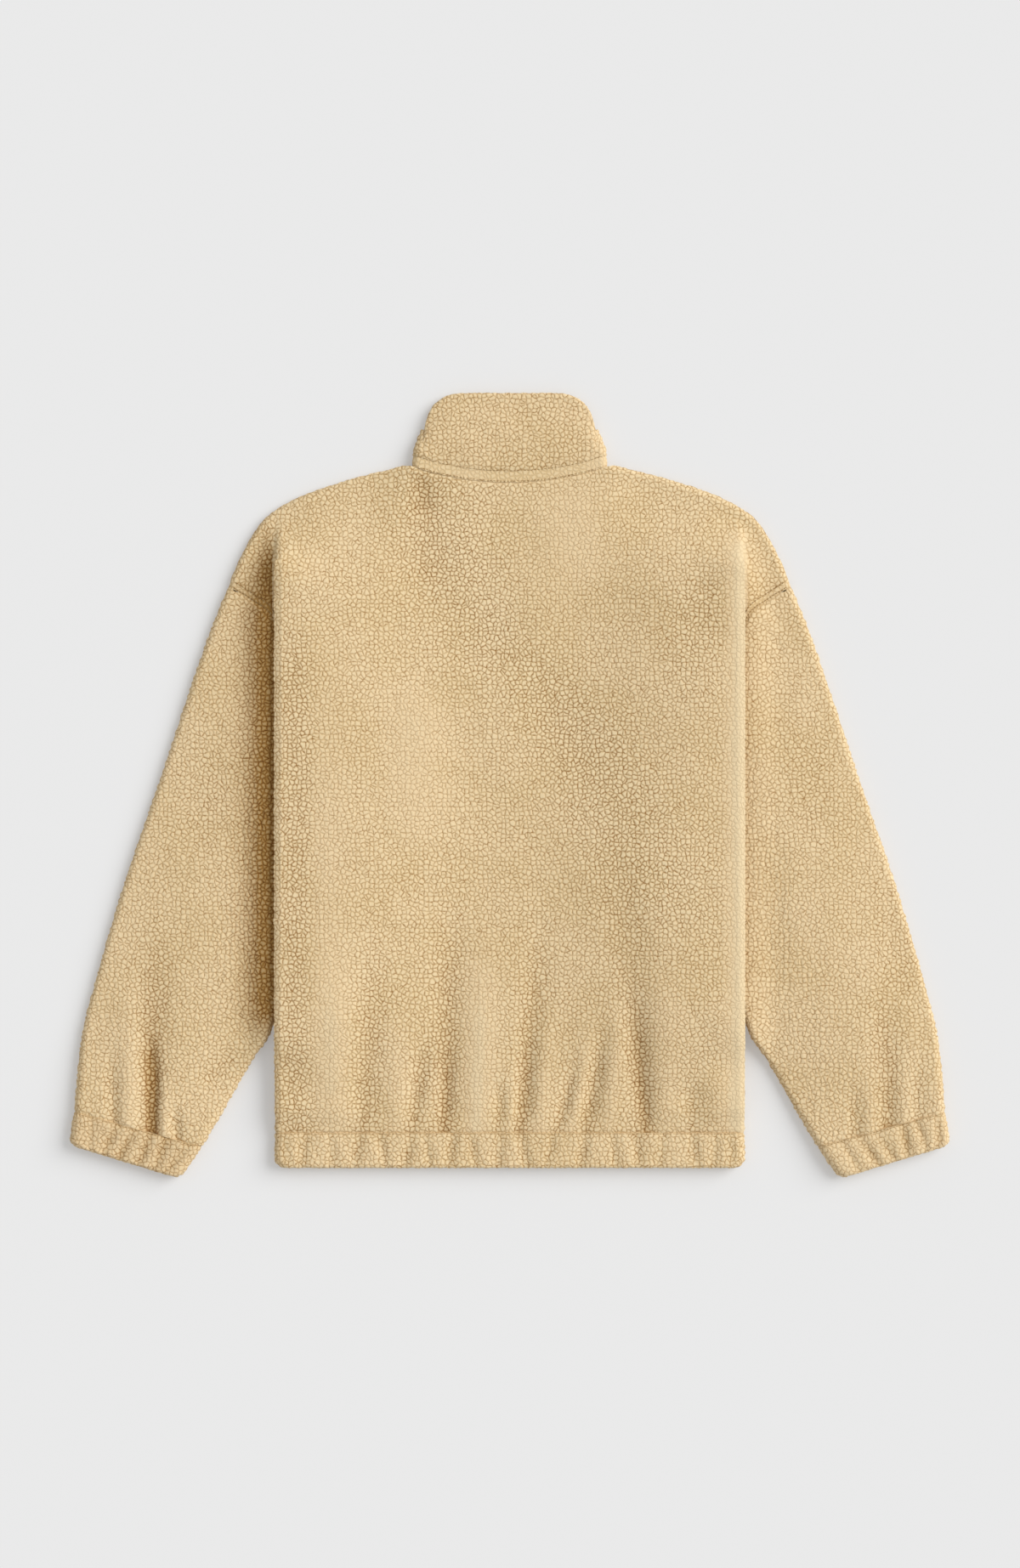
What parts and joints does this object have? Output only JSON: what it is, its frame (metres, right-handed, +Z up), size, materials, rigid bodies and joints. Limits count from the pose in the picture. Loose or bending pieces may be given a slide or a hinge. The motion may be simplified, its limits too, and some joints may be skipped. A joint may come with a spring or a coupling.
{
  "type": "sherpa fleece zip-up jacket, laid flat on its front",
  "caption": "Sherpa fleece zip-up jacket laid flat, back uppermost, with a stand collar, drop shoulders, sleeves tucked under the body's side folds, and an elasticated hem band and cuffs.",
  "frame": {"origin": "middle of the laid jacket's outline, on the surface that it lies on", "axes": "+Z up, out of the jacket's back; +Y from the hem to the collar; +X to the right of someone looking down on the back"},
  "size_m": [0.88, 0.782, 0.0306],
  "materials": {
    "fleece": "curly boucle pile, matt",
    "zip_tape": "woven tape, matt",
    "zip_teeth": "moulded, satin",
    "zip_metal": "lacquered die-cast zinc, satin"
  },
  "bodies": {
    "jacket": {"back": "fleece", "front_left": "fleece", "front_right": "fleece", "sleeve_left": "fleece", "sleeve_right": "fleece", "collar": "fleece", "hem_band": "fleece", "cuff_left": "fleece", "cuff_right": "fleece", "zip_tape_left": "zip_tape", "zip_tape_right": "zip_tape", "zip_chain": "zip_teeth", "zip_box": "zip_teeth", "zip_stop_left": "zip_teeth", "zip_stop_right": "zip_teeth", "zip_slider": "zip_metal"},
    "zip_pull": {"zip_pull": "zip_metal"}
  },
  "joints": [
    {"name": "zip_pull_hinge", "type": "hinge", "parent": "jacket", "child": "zip_pull", "pos_m": [0, 0.323, 0.002], "axis": [1, 0, 0], "range_deg": [0, 180]}
  ]
}
